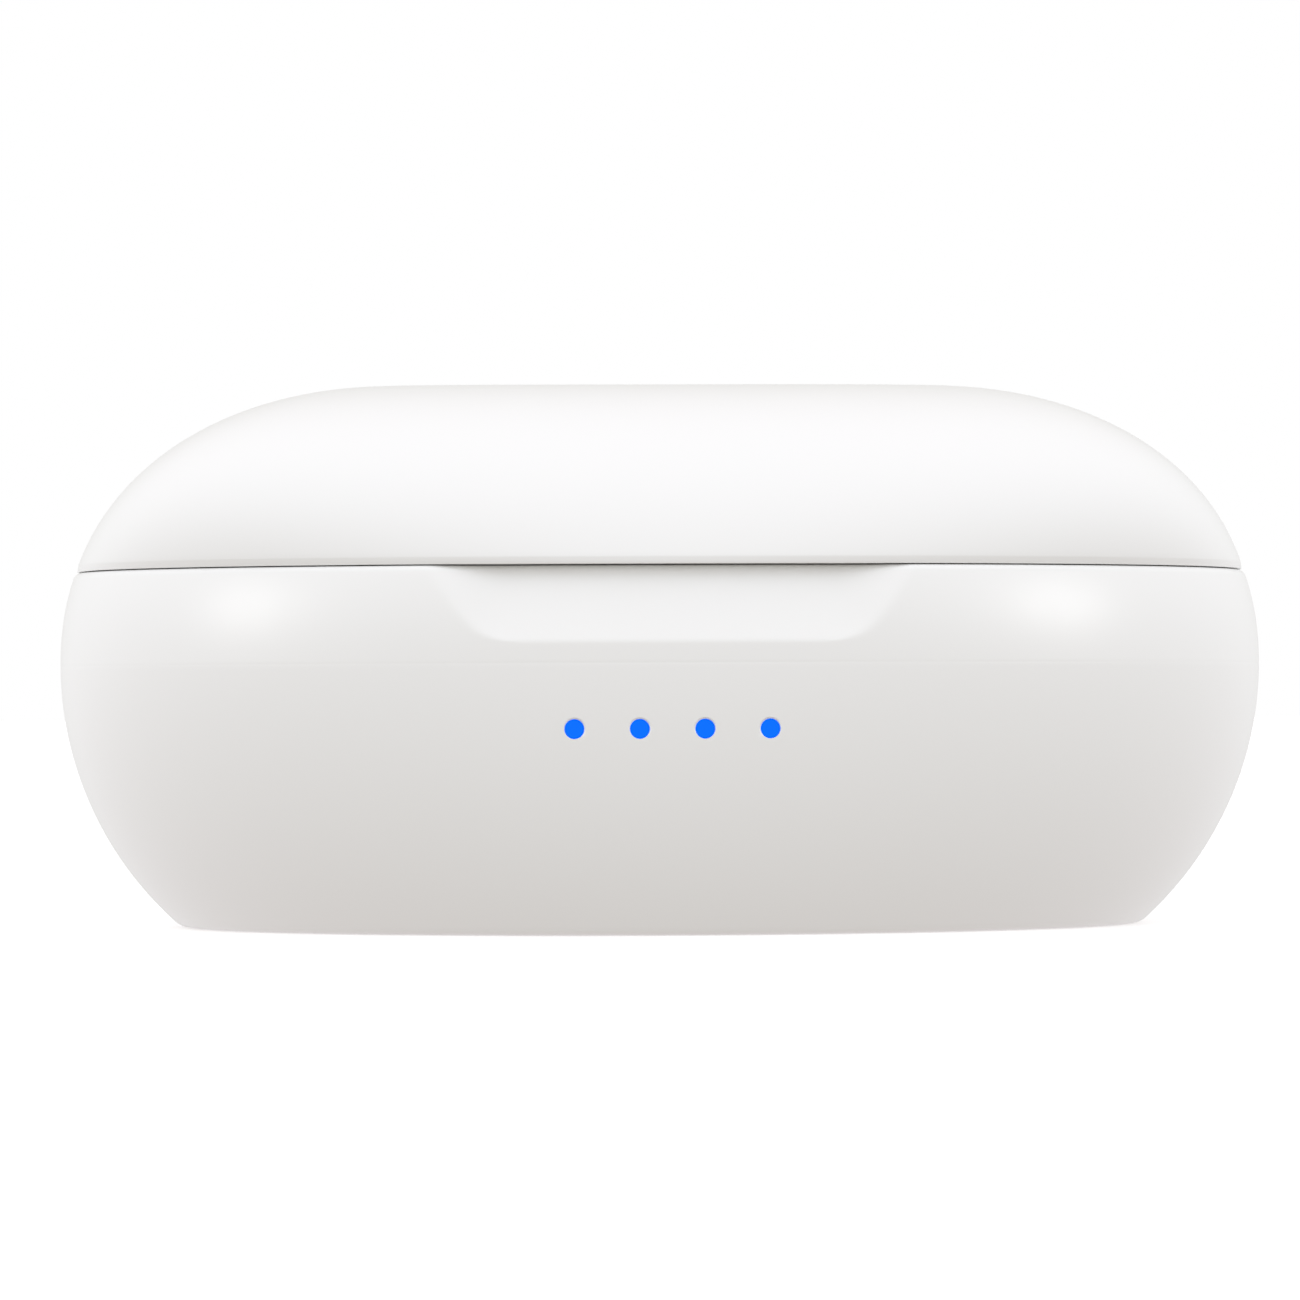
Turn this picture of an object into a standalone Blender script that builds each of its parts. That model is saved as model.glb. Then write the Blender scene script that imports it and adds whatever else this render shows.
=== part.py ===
"""A charging case for two wireless earbuds: an oval clamshell with a hinged lid.

Frame: +Z up, the front with the four charge lights faces -Y, +X to the viewer's right.
The origin is the middle of the flat bottom. Run with: blender --background --python part.py
"""

import math

import bmesh
import bpy
from mathutils import Matrix, Vector

MM = 0.001

# Outer body: an oval twice as long as it is deep, widest at the girth.
HALF_LENGTH = 36.0 * MM
HALF_DEPTH = 18.0 * MM
GIRTH_Z = 15.6 * MM
TOP_Z = 32.35 * MM
BELLY_RADIUS = 20.6 * MM
FOOT_FILLET = 1.3 * MM
CROWN_POWER = 2.2
CROWN_ROUNDNESS = 2.04
FLAT_TOP_HALF_LENGTH = 16.0 * MM
FLAT_TOP_HALF_DEPTH = 2.2 * MM
TOP_PLAN_POWER = 4.0
PLAN_POWER = 2.3
FOOT_PLAN_POWER = 2.0
OVAL_STEPS = 56

# Parting line between base and lid.
SEAM_Z = 21.2 * MM
SEAM_GAP = 0.1 * MM
BASE_RIM_Z = SEAM_Z - SEAM_GAP / 2
LID_RIM_Z = SEAM_Z + SEAM_GAP / 2
RIM_FILLET = 0.3 * MM
LID_CHAMFER_HEIGHT = 0.4 * MM
LID_CHAMFER_WIDTH = 0.1 * MM

# Walls.
SHELL_WALL = 1.8 * MM
LID_WALL = 1.5 * MM
FIT_GAP = 0.15 * MM
LEDGE_Z = 19.15 * MM
LEDGE_WIDTH = 1.0 * MM
LEDGE_HEIGHT = 1.0 * MM

# Thumb recess in the front of the base, a facet that leans in from its foot to the rim.
RECESS_TOP_HALF_WIDTH = 13.8 * MM
RECESS_FOOT_HALF_WIDTH = 9.6 * MM
RECESS_FOOT_Z = 16.83 * MM
RECESS_LEAN = 0.4
RECESS_FLANK_POWER = 0.55
RECESS_FLANK_SLOPE = 0.27

# Charge lights.
LIGHT_Z = 11.85 * MM
LIGHT_PITCH = 3.7 * MM
LIGHT_RADIUS = 0.5 * MM
LIGHT_HOLE_RADIUS = 0.56 * MM
LIGHTS = 4

# Cradle tray and its two earbud wells.
TRAY_TOP_Z = 20.7 * MM
TRAY_UNDER_Z = 19.3 * MM
TRAY_LIP_Z = 21.5 * MM
TRAY_LIP_WIDTH = 0.7 * MM
WELL_X = 19.5 * MM
WELL_HALF_LENGTH = 11.0 * MM
WELL_HALF_WIDTH = 9.5 * MM
WELL_FLOOR_Z = 11.6 * MM
WELL_WALL = 1.2 * MM
WELL_DRAFT = 1.3 * MM
EGG_TAPER = 0.16
EGG_STEPS = 28

# Lid liner and its two hollows over the earbuds.
LINER_UNDER_Z = 21.7 * MM
LINER_TOP_Z = 22.7 * MM
HOLLOW_TOP_Z = 27.2 * MM
LINER_WALL = 1.0 * MM

# Hinge at the back, with its axis at the parting line.
HINGE_Y = 17.0 * MM
KNUCKLE_RADIUS = 1.0 * MM
KNUCKLE_BORE = 0.47 * MM
KNUCKLE_CLEARANCE = 0.15 * MM
PIN_RADIUS = 0.4 * MM
PIN_HALF_LENGTH = 12.0 * MM
LID_KNUCKLE_HALF = 7.0 * MM
TRAY_KNUCKLE = (7.2 * MM, 12.2 * MM)
HINGE_RELIEF_RADIUS = 0.4 * MM
HINGE_RELIEF_REACH = 15.2 * MM

# Circuit board under the wells.
BOARD_UNDER_Z = 8.4 * MM
BOARD_TOP_Z = 9.4 * MM
BOARD_HALF_LENGTH = 27.6 * MM
BOARD_HALF_DEPTH = 13.6 * MM
SOLDER_GAP = 0.1 * MM
POST_PLACES = [
    (9.5 * MM, 11.8 * MM),
    (-9.5 * MM, 11.8 * MM),
    (13.0 * MM, -11.6 * MM),
    (-13.0 * MM, -11.6 * MM),
]
POST_RADIUS = 1.8 * MM
SCREW_RADIUS = 0.6 * MM

# Sprung contact pins.
PIN_X = 18.5 * MM
PIN_Y = 1.8 * MM
BARREL_RADIUS = 0.75 * MM
BARREL_BORE = 0.55 * MM
BARREL_LIP_RADIUS = 0.42 * MM
BARREL_TOP_Z = 12.1 * MM
BARREL_LIP = 0.25 * MM
BARREL_FLOOR = 0.2 * MM
PLUNGER_RADIUS = 0.36 * MM
PLUNGER_COLLAR_RADIUS = 0.48 * MM
PLUNGER_Z = (10.9 * MM, 13.1 * MM)
SPRING_RADIUS = 0.35 * MM
SPRING_WIRE = 0.05 * MM
SPRING_TURNS = 4

# Port at the back.
PORT_Z = 11.15 * MM
PORT_HALF_WIDTH = 4.47 * MM
PORT_HALF_HEIGHT = 1.63 * MM
PORT_Y = (9.2 * MM, 16.6 * MM)

# Magnets that hold the lid shut.
CLOSURE_X = 7.0 * MM
CLOSURE_Y = -11.8 * MM
CLOSURE_RADIUS = 2.0 * MM

SIDES = {"left": -1, "right": 1}
ENDS = {"front": -1, "back": 1}


# ---------------------------------------------------------------- scene and materials


def clear_scene():
    for obj in list(bpy.data.objects):
        bpy.data.objects.remove(obj, do_unlink=True)


def collection(name, hidden=False):
    made = bpy.data.collections.new(name)
    bpy.context.scene.collection.children.link(made)
    made.hide_render = hidden
    return made


def material(name, color, roughness, metallic=0.0):
    made = bpy.data.materials.new(name)
    made.use_nodes = True
    shader = made.node_tree.nodes["Principled BSDF"]
    shader.inputs["Base Color"].default_value = (*color, 1.0)
    shader.inputs["Roughness"].default_value = roughness
    shader.inputs["Metallic"].default_value = metallic
    made.diffuse_color = (*color, 1.0)
    return made


clear_scene()
CASE = collection("earbuds_case")
CUTTERS = collection("cutters", hidden=True)
WHITE = material("white_plastic", (0.86, 0.86, 0.85), 0.25)
INNER_WHITE = material("inner_plastic", (0.80, 0.80, 0.79), 0.4)
BLUE_LIGHT = material("light_guide", (0.0, 0.17, 1.0), 0.2)
BOARD_GREEN = material("circuit_board", (0.02, 0.16, 0.06), 0.5)
CHIP_BLACK = material("chip", (0.02, 0.02, 0.022), 0.45)
STEEL = material("steel", (0.62, 0.62, 0.63), 0.25, 1.0)
GOLD = material("contact_gold", (0.85, 0.62, 0.25), 0.25, 1.0)
NICKEL = material("magnet_nickel", (0.55, 0.55, 0.56), 0.3, 1.0)
CELL_FOIL = material("cell_foil", (0.55, 0.57, 0.60), 0.35, 0.6)
FOAM = material("foam", (0.05, 0.05, 0.05), 0.9)
RED_WIRE = material("red_wire", (0.6, 0.02, 0.02), 0.4)
BLACK_WIRE = material("black_wire", (0.02, 0.02, 0.02), 0.4)


# ---------------------------------------------------------------- modelling helpers


def place(name, mesh, finish=None, helper=False):
    """An object for a mesh: a part in the case, or a hidden cutter."""
    obj = bpy.data.objects.new(name, mesh)
    (CUTTERS if helper else CASE).objects.link(obj)
    if helper:
        obj.hide_render = True
        obj.display_type = "WIRE"
    if finish:
        mesh.materials.clear()
        mesh.materials.append(finish)
    return obj


def boolean(target, tool, operation):
    step = target.modifiers.new(f"{operation.lower()} {tool.name}", "BOOLEAN")
    step.operation = operation
    step.solver = "EXACT"
    step.object = tool
    return step


def cut(target, *tools):
    for tool in tools:
        boolean(target, tool, "DIFFERENCE")


def join(target, *tools):
    for tool in tools:
        boolean(target, tool, "UNION")


def evaluated_mesh(obj):
    bpy.context.view_layer.update()
    graph = bpy.context.evaluated_depsgraph_get()
    return bpy.data.meshes.new_from_object(obj.evaluated_get(graph))


def turned_mesh(name, profile, steps):
    """A profile of (radius, z) turned about Z. It runs down the outer side, top to bottom."""
    mesh = bpy.data.meshes.new(name)
    points = [(radius, 0.0, z) for radius, z in profile]
    edges = [(i, i + 1) for i in range(len(points) - 1)]
    mesh.from_pydata(points, edges, [])
    lathe = bpy.data.objects.new(name + "_profile", mesh)
    bpy.context.scene.collection.objects.link(lathe)
    screw = lathe.modifiers.new("turn", "SCREW")
    screw.axis = "Z"
    screw.angle = 2 * math.pi
    screw.steps = steps
    screw.render_steps = steps
    screw.use_merge_vertices = True
    screw.merge_threshold = 1e-7
    turned = evaluated_mesh(lathe)
    bpy.data.objects.remove(lathe, do_unlink=True)
    turned.name = name
    return turned


def smooth(mesh, angle=35.0):
    mesh.shade_smooth()
    mesh.set_sharp_from_angle(angle=math.radians(angle))


def turned(name, profile, centre, finish=None, steps=24, axis="Z", helper=False):
    mesh = turned_mesh(name, profile, steps)
    turn = {"X": Matrix.Rotation(math.pi / 2, 4, "Y"), "Y": Matrix.Rotation(math.pi / 2, 4, "X")}
    mesh.transform(turn.get(axis, Matrix.Identity(4)))
    smooth(mesh)
    obj = place(name, mesh, finish, helper)
    obj.location = centre
    return obj


def rod(name, radius, length, centre, finish=None, axis="Z", steps=24, helper=False):
    """A round bar of that length, its middle at the centre."""
    half = length / 2
    profile = [(0.0, half), (radius, half), (radius, -half), (0.0, -half)]
    return turned(name, profile, centre, finish, steps, axis, helper)


def block(name, low, high, finish=None, bevel=0.0, helper=False):
    """A box between two corners, with an optional rounded edge."""
    size = Vector(high) - Vector(low)
    mesh = bpy.data.meshes.new(name)
    cube = bmesh.new()
    bmesh.ops.create_cube(cube, size=1.0)
    bmesh.ops.scale(cube, vec=size, verts=cube.verts)
    cube.to_mesh(mesh)
    cube.free()
    obj = place(name, mesh, finish, helper)
    obj.location = (Vector(low) + Vector(high)) / 2
    if bevel:
        edge = obj.modifiers.new("rounded edges", "BEVEL")
        edge.width = bevel
        edge.segments = 2
    return obj


def plate(name, outline, thickness, finish=None, helper=False):
    """A flat outline in X and Y, thickened evenly about Z = 0."""
    curve = bpy.data.curves.new(name, "CURVE")
    curve.dimensions = "2D"
    curve.fill_mode = "BOTH"
    curve.extrude = thickness / 2
    spline = curve.splines.new("POLY")
    spline.points.add(len(outline) - 1)
    for point, (x, y) in zip(spline.points, outline):
        point.co = (x, y, 0.0, 1.0)
    spline.use_cyclic_u = True
    source = bpy.data.objects.new(name + "_outline", curve)
    bpy.context.scene.collection.objects.link(source)
    mesh = evaluated_mesh(source)
    bpy.data.objects.remove(source, do_unlink=True)
    weld = bmesh.new()
    weld.from_mesh(mesh)
    bmesh.ops.remove_doubles(weld, verts=weld.verts, dist=1e-7)
    bmesh.ops.recalc_face_normals(weld, faces=weld.faces)
    weld.to_mesh(mesh)
    weld.free()
    return place(name, mesh, finish, helper)


def wire(name, points, radius, finish, resolution=2):
    """A round wire along a list of points."""
    curve = bpy.data.curves.new(name, "CURVE")
    curve.dimensions = "3D"
    curve.bevel_depth = radius
    curve.bevel_resolution = resolution
    curve.use_fill_caps = True
    spline = curve.splines.new("POLY")
    spline.points.add(len(points) - 1)
    for point, place_of in zip(spline.points, points):
        point.co = (*place_of, 1.0)
    obj = bpy.data.objects.new(name, curve)
    CASE.objects.link(obj)
    curve.materials.append(finish)
    return obj


def arc(centre, radius, start, end, steps):
    """Points on an arc, from one angle in degrees to another."""
    angles = [math.radians(start + (end - start) * i / steps) for i in range(steps + 1)]
    return [(centre[0] + radius * math.cos(a), centre[1] + radius * math.sin(a)) for a in angles]


# ---------------------------------------------------------------- the oval body form


def crown_share(z):
    """How much of the crown's half width is left at a height above the girth."""
    rise = min(1.0, (z - GIRTH_Z) / (TOP_Z - GIRTH_Z))
    return (1.0 - rise**CROWN_POWER) ** (1.0 / CROWN_ROUNDNESS)


def half_length(z):
    """Half of the body's length at a height."""
    if z > GIRTH_Z:
        return FLAT_TOP_HALF_LENGTH + (HALF_LENGTH - FLAT_TOP_HALF_LENGTH) * crown_share(z)
    return HALF_LENGTH - BELLY_RADIUS + math.sqrt(BELLY_RADIUS**2 - (GIRTH_Z - z) ** 2)


def half_depth(z):
    """Half of the body's depth at a height."""
    if z > GIRTH_Z:
        return FLAT_TOP_HALF_DEPTH + (HALF_DEPTH - FLAT_TOP_HALF_DEPTH) * crown_share(z)
    return half_length(z) * HALF_DEPTH / HALF_LENGTH


def plan_power(z):
    """The power of the plan's superellipse: 2 is an ellipse, more has straighter sides."""
    lift = max(0.0, min(1.0, (z - SEAM_Z) / (TOP_Z - SEAM_Z)))
    if lift > 0.0:
        return PLAN_POWER + (TOP_PLAN_POWER - PLAN_POWER) * lift
    drop = max(0.0, min(1.0, (GIRTH_Z - z) / GIRTH_Z))
    return PLAN_POWER + (FOOT_PLAN_POWER - PLAN_POWER) * drop


def oval_point(reach, angle, z, level=None):
    """The point at an angle on the ring with that half length, in step with the body at a level."""
    level = z if level is None else level
    power = 2.0 / plan_power(z)
    cosine, sine = math.cos(angle), math.sin(angle)
    depth = reach - (half_length(level) - half_depth(level))
    x = math.copysign(abs(cosine) ** power, cosine) * reach
    y = math.copysign(abs(sine) ** power, sine) * depth
    return (x, y)


def front_depth(x, z):
    """How far in front of the middle the body's face is, at a place across it."""
    power = plan_power(z)
    return half_depth(z) * (1.0 - abs(x / half_length(z)) ** power) ** (1.0 / power)


def oval(name, profile, finish=None, level=None, helper=False, steps=OVAL_STEPS):
    """A turned profile of (half length, z), squeezed along Y into the body's oval."""
    mesh = turned_mesh(name, profile, steps)
    for vertex in mesh.vertices:
        reach = math.hypot(vertex.co.x, vertex.co.y)
        if reach > 1e-7:
            angle = math.atan2(vertex.co.y, vertex.co.x)
            vertex.co.x, vertex.co.y = oval_point(reach, angle, vertex.co.z, level)
    smooth(mesh, 25.0)
    return place(name, mesh, finish, helper)


def egg(name, profile, side, finish=None, helper=False):
    """A turned profile of (half width, z), stretched into the wells' egg plan, narrow end inwards."""
    mesh = turned_mesh(name, profile, EGG_STEPS)
    ratio = WELL_HALF_LENGTH / WELL_HALF_WIDTH
    for vertex in mesh.vertices:
        radius = math.hypot(vertex.co.x, vertex.co.y)
        if radius > 1e-7:
            outward = vertex.co.x / radius
            vertex.co.x = side * WELL_X + side * vertex.co.x * ratio
            vertex.co.y *= side * (1.0 + EGG_TAPER * outward)
        else:
            vertex.co.x = side * WELL_X
    smooth(mesh, 40.0)
    return place(name, mesh, finish, helper)


def hinge_bar(name, radius, low_x, high_x, steps=28):
    """A round bar on the hinge axis, as a helper."""
    centre = ((low_x + high_x) / 2, HINGE_Y, SEAM_Z)
    return rod(name, radius, high_x - low_x, centre, axis="X", steps=steps, helper=True)


def cut_hinge_scoop(shell):
    """Room round the knuckles, and a slim relief beyond them where the rims turn past each other."""
    reach = TRAY_KNUCKLE[1] + 2 * KNUCKLE_CLEARANCE
    cut(shell, hinge_bar(f"{shell.name}_scoop", KNUCKLE_RADIUS + KNUCKLE_CLEARANCE, -reach, reach))
    for word, side in SIDES.items():
        ends = sorted((side * (reach - 0.1 * MM), side * HINGE_RELIEF_REACH))
        relief = hinge_bar(f"{shell.name}_relief_{word}", HINGE_RELIEF_RADIUS, ends[0], ends[1], steps=16)
        cut(shell, relief)


# ---------------------------------------------------------------- base shell


def base_profile():
    """The base's wall in (half length, z), from the inner floor up, over the rim and down outside."""
    belly_centre = (HALF_LENGTH - BELLY_RADIUS, GIRTH_Z)
    foot_reach = BELLY_RADIUS - FOOT_FILLET
    foot_angle = math.degrees(math.asin((GIRTH_Z - FOOT_FILLET) / foot_reach))
    foot_x = belly_centre[0] + foot_reach * math.cos(math.radians(foot_angle))
    upper = [GIRTH_Z + (BASE_RIM_Z - RIM_FILLET - GIRTH_Z) * i / 3 for i in range(4)]
    outer_side = [(half_length(z), z) for z in reversed(upper)]
    rim_centre = (half_length(BASE_RIM_Z - RIM_FILLET) - RIM_FILLET, BASE_RIM_Z - RIM_FILLET)
    rim = arc(rim_centre, RIM_FILLET, 90.0, 0.0, 2)[:-1]
    belly = arc(belly_centre, BELLY_RADIUS, 0.0, -foot_angle, 7)
    foot = arc((foot_x, FOOT_FILLET), FOOT_FILLET, -foot_angle, -90.0, 2)
    outer = rim + outer_side + belly[1:-1] + foot + [(0.0, 0.0)]

    inner_radius = BELLY_RADIUS - SHELL_WALL
    floor_angle = math.degrees(math.asin((GIRTH_Z - SHELL_WALL) / inner_radius))
    inner_belly = arc(belly_centre, inner_radius, -floor_angle, 0.0, 5)
    ledge_low = LEDGE_Z - LEDGE_HEIGHT
    ledge_foot = ledge_low - LEDGE_WIDTH
    inner_side = [
        (half_length(ledge_foot) - SHELL_WALL, ledge_foot),
        (half_length(ledge_low) - SHELL_WALL - LEDGE_WIDTH, ledge_low),
        (half_length(LEDGE_Z) - SHELL_WALL - LEDGE_WIDTH, LEDGE_Z),
        (half_length(LEDGE_Z) - SHELL_WALL, LEDGE_Z),
        (half_length(BASE_RIM_Z) - SHELL_WALL, BASE_RIM_Z),
    ]
    return [(0.0, SHELL_WALL)] + inner_belly + inner_side + outer


def recess_half_width(z):
    share = max(0.0, min(1.0, (z - RECESS_FOOT_Z) / (BASE_RIM_Z - RECESS_FOOT_Z)))
    growth = RECESS_TOP_HALF_WIDTH - RECESS_FOOT_HALF_WIDTH
    return RECESS_FOOT_HALF_WIDTH + growth * share**RECESS_FLANK_POWER


def recess_cutter():
    """A slab in front of the base: its back face is the leaning facet between two sloping flanks."""
    under, over, spill, slab = 0.3 * MM, 0.8 * MM, 0.5 * MM, 4.0 * MM
    rows, flat = 7, 4
    sheet = bmesh.new()
    grid = []
    for row in range(rows + 1):
        height = RECESS_FOOT_Z - under + (BASE_RIM_Z + over + under - RECESS_FOOT_Z) * (row / rows) ** 1.4
        edge = recess_half_width(height)
        lean = RECESS_LEAN * (height - RECESS_FOOT_Z)
        deepest = lean - front_depth(0.0, RECESS_FOOT_Z) + front_depth(0.0, height)
        band = max(0.0, deepest) / RECESS_FLANK_SLOPE
        right = [(edge - band) * i / flat for i in range(flat + 1)] + [edge - band / 2, edge + spill]
        line = []
        for x in [-x for x in reversed(right[1:])] + right:
            facet = lean - front_depth(x, RECESS_FOOT_Z)
            flank = RECESS_FLANK_SLOPE * (edge - abs(x)) - front_depth(x, height)
            line.append(sheet.verts.new((x, min(facet, flank), height)))
        grid.append(line)
    for low, high in zip(grid, grid[1:]):
        for i in range(len(low) - 1):
            sheet.faces.new((low[i], low[i + 1], high[i + 1], high[i]))
    made = bmesh.ops.extrude_face_region(sheet, geom=list(sheet.faces))
    moved = [item for item in made["geom"] if isinstance(item, bmesh.types.BMVert)]
    bmesh.ops.translate(sheet, verts=moved, vec=(0.0, -slab, 0.0))
    bmesh.ops.recalc_face_normals(sheet, faces=sheet.faces)
    mesh = bpy.data.meshes.new("recess_cutter")
    sheet.to_mesh(mesh)
    sheet.free()
    return place("recess_cutter", mesh, helper=True)


def port_outline(grow, corner_steps=5):
    """The port's rounded outline in X and Z, grown by an amount."""
    radius = PORT_HALF_HEIGHT + grow
    middle = PORT_HALF_WIDTH - PORT_HALF_HEIGHT
    right = arc((middle, 0.0), radius, -90.0, 90.0, corner_steps)
    left = arc((-middle, 0.0), radius, 90.0, 270.0, corner_steps)
    return right + left


def port_prism(name, grow, low_y, high_y, finish=None, helper=False):
    prism = plate(name, port_outline(grow), high_y - low_y, finish, helper)
    prism.rotation_euler = (math.pi / 2, 0.0, 0.0)
    prism.location = (0.0, (low_y + high_y) / 2, PORT_Z)
    return prism


def light_places():
    return [(i - (LIGHTS - 1) / 2) * LIGHT_PITCH for i in range(LIGHTS)]


def build_base_shell():
    shell = oval("base_shell", base_profile(), WHITE)
    cut(shell, recess_cutter())
    for number, x in enumerate(light_places(), 1):
        centre = (x, -HALF_DEPTH + 1.5 * MM, LIGHT_Z)
        hole = f"light_hole_{number}"
        cut(shell, rod(hole, LIGHT_HOLE_RADIUS, 6 * MM, centre, axis="Y", steps=16, helper=True))
    cut(shell, port_prism("port_hole", 0.3 * MM, 14.5 * MM, 19.5 * MM, helper=True))
    cut_hinge_scoop(shell)
    for word, side in SIDES.items():
        ends = sorted(side * (x + grow) for x, grow in zip(TRAY_KNUCKLE, (-FIT_GAP, FIT_GAP)))
        low = (ends[0], 14.0 * MM, 20.1 * MM)
        high = (ends[1], HINGE_Y, 22.0 * MM)
        cut(shell, block(f"base_web_slot_{word}", low, high, helper=True))
    return shell


# ---------------------------------------------------------------- cradle tray


def well_profile(grow, top_z, floor_z, steps=4):
    """A bowl's (half width, z) from the rim inwards and down, grown by a wall."""
    round_foot = 3.0 * MM + grow
    top = WELL_HALF_WIDTH + grow
    foot = top - WELL_DRAFT
    floor = arc((foot - round_foot, floor_z + round_foot), round_foot, 0.0, -90.0, steps)
    return [(0.0, top_z), (top, top_z)] + floor + [(0.0, floor_z)]


def build_tray():
    edge = SHELL_WALL + FIT_GAP
    lip = half_length(TRAY_LIP_Z) - edge
    profile = [
        (0.0, TRAY_TOP_Z),
        (lip - TRAY_LIP_WIDTH, TRAY_TOP_Z),
        (lip - TRAY_LIP_WIDTH, TRAY_LIP_Z),
        (lip, TRAY_LIP_Z),
        (half_length(TRAY_TOP_Z) - edge, TRAY_TOP_Z),
        (half_length(TRAY_UNDER_Z) - edge, TRAY_UNDER_Z),
        (0.0, TRAY_UNDER_Z),
    ]
    tray = oval("cradle_tray", profile, INNER_WHITE)
    overlap = 0.4 * MM
    for word, side in SIDES.items():
        outer = well_profile(WELL_WALL, TRAY_TOP_Z - overlap, WELL_FLOOR_Z - WELL_WALL)
        join(tray, egg(f"well_outside_{word}", outer, side, helper=True))
        cup = rod(f"closure_cup_{word}", CLOSURE_RADIUS + 0.7 * MM, 2.9 * MM,
                  (side * CLOSURE_X, CLOSURE_Y, 18.45 * MM), steps=16, helper=True)
        join(tray, cup)
        low_x, high_x = sorted(side * x for x in TRAY_KNUCKLE)
        web_high = (high_x, HINGE_Y, 21.0 * MM)
        web = block(f"tray_web_{word}", (low_x, 14.4 * MM, 20.32 * MM), web_high, helper=True)
        join(tray, web, hinge_bar(f"tray_knuckle_{word}", KNUCKLE_RADIUS, low_x, high_x))
    for number, (x, y) in enumerate(POST_PLACES, 1):
        foot = BOARD_TOP_Z + SOLDER_GAP
        height = TRAY_UNDER_Z + overlap - foot
        middle = (x, y, foot + height / 2)
        post = rod(f"board_post_{number}", POST_RADIUS, height, middle, steps=14, helper=True)
        bore_radius = SCREW_RADIUS + 0.1 * MM
        bore = rod(f"post_bore_{number}", bore_radius, 8 * MM, (x, y, foot), steps=10, helper=True)
        join(tray, post)
        cut(tray, bore)
    for word, side in SIDES.items():
        inner = well_profile(0.0, TRAY_TOP_Z + overlap, WELL_FLOOR_Z)
        cut(tray, egg(f"well_inside_{word}", inner, side, helper=True))
        cup_hole = rod(f"closure_cup_hole_{word}", CLOSURE_RADIUS + FIT_GAP, 4 * MM,
                       (side * CLOSURE_X, CLOSURE_Y, 17.3 * MM), steps=16, helper=True)
        cut(tray, cup_hole)
        for end, forward in ENDS.items():
            hole = rod(f"pin_hole_{word}_{end}", BARREL_RADIUS + FIT_GAP, 4 * MM,
                       (side * PIN_X, forward * PIN_Y, WELL_FLOOR_Z), steps=14, helper=True)
            cut(tray, hole)
    cut(tray, hinge_bar("tray_bore", KNUCKLE_BORE, -14 * MM, 14 * MM))
    return tray


# ---------------------------------------------------------------- electronics in the base


def board_outline(steps=40):
    angles = [2 * math.pi * i / steps for i in range(steps)]
    return [(BOARD_HALF_LENGTH * math.cos(a), BOARD_HALF_DEPTH * math.sin(a)) for a in angles]


def build_board():
    board = plate("main_board", board_outline(), BOARD_TOP_Z - BOARD_UNDER_Z, BOARD_GREEN)
    board.location.z = (BOARD_TOP_Z + BOARD_UNDER_Z) / 2
    for number, (x, y) in enumerate(POST_PLACES, 1):
        hole_radius = SCREW_RADIUS + 0.25 * MM
        centre = (x, y, BOARD_TOP_Z)
        hole = rod(f"board_hole_{number}", hole_radius, 4 * MM, centre, steps=12, helper=True)
        cut(board, hole)
        head, under = 1.3 * MM, BOARD_UNDER_Z - SOLDER_GAP
        profile = [
            (0.0, 13.0 * MM),
            (SCREW_RADIUS * 0.5, 13.0 * MM),
            (SCREW_RADIUS, 12.5 * MM),
            (SCREW_RADIUS, under),
            (head, under),
            (head, under - 0.5 * MM),
            (head - 0.3 * MM, under - 0.8 * MM),
            (0.0, under - 0.8 * MM),
        ]
        turned(f"board_screw_{number}", profile, (x, y, 0.0), STEEL, steps=12)


def build_port():
    shell = port_prism("port_shell", 0.0, PORT_Y[0], PORT_Y[1], STEEL)
    mouth_back, mouth_front = PORT_Y[0] + 0.5 * MM, PORT_Y[1] + 1.0 * MM
    cut(shell, port_prism("port_mouth", -0.3 * MM, mouth_back, mouth_front, helper=True))
    tongue_back, tongue_front = PORT_Y[0] + 0.6 * MM, PORT_Y[1] - 1.2 * MM
    low = (-3.3 * MM, tongue_back, PORT_Z - 0.35 * MM)
    high = (3.3 * MM, tongue_front, PORT_Z + 0.35 * MM)
    block("port_tongue", low, high, CHIP_BLACK, bevel=0.12 * MM)


def build_lights():
    board_front = -13.6 * MM
    low, high = BOARD_TOP_Z + 0.15 * MM, LIGHT_Z + 2.4 * MM
    board_back = board_front + 0.8 * MM
    block("light_board", (-10 * MM, board_front, low), (10 * MM, board_back, high), BOARD_GREEN)
    header_low = (-3.2 * MM, board_back + 0.05 * MM, BOARD_TOP_Z + 0.05 * MM)
    header_high = (3.2 * MM, board_back + 1.7 * MM, BOARD_TOP_Z + 1.6 * MM)
    block("light_board_header", header_low, header_high, CHIP_BLACK, bevel=0.12 * MM)
    bar_y = (-15.15 * MM, -14.35 * MM)
    half_bar, half_height = 7.6 * MM, 1.3 * MM
    bar = block("light_guide", (-half_bar, bar_y[0], LIGHT_Z - half_height),
                (half_bar, bar_y[1], LIGHT_Z + half_height), BLUE_LIGHT, bevel=0.15 * MM)
    for number, x in enumerate(light_places(), 1):
        face = 0.06 * MM - front_depth(abs(x) + LIGHT_RADIUS, LIGHT_Z)
        root = bar_y[0] + 0.3 * MM
        centre = (x, (face + root) / 2, LIGHT_Z)
        pip = f"light_pip_{number}"
        join(bar, rod(pip, LIGHT_RADIUS, root - face, centre, axis="Y", steps=16, helper=True))
        chip_low = (x - 0.8 * MM, board_front - 0.65 * MM, LIGHT_Z - 0.4 * MM)
        chip_high = (x + 0.8 * MM, board_front - 0.05 * MM, LIGHT_Z + 0.4 * MM)
        block(f"charge_light_{number}", chip_low, chip_high, INNER_WHITE)


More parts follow.
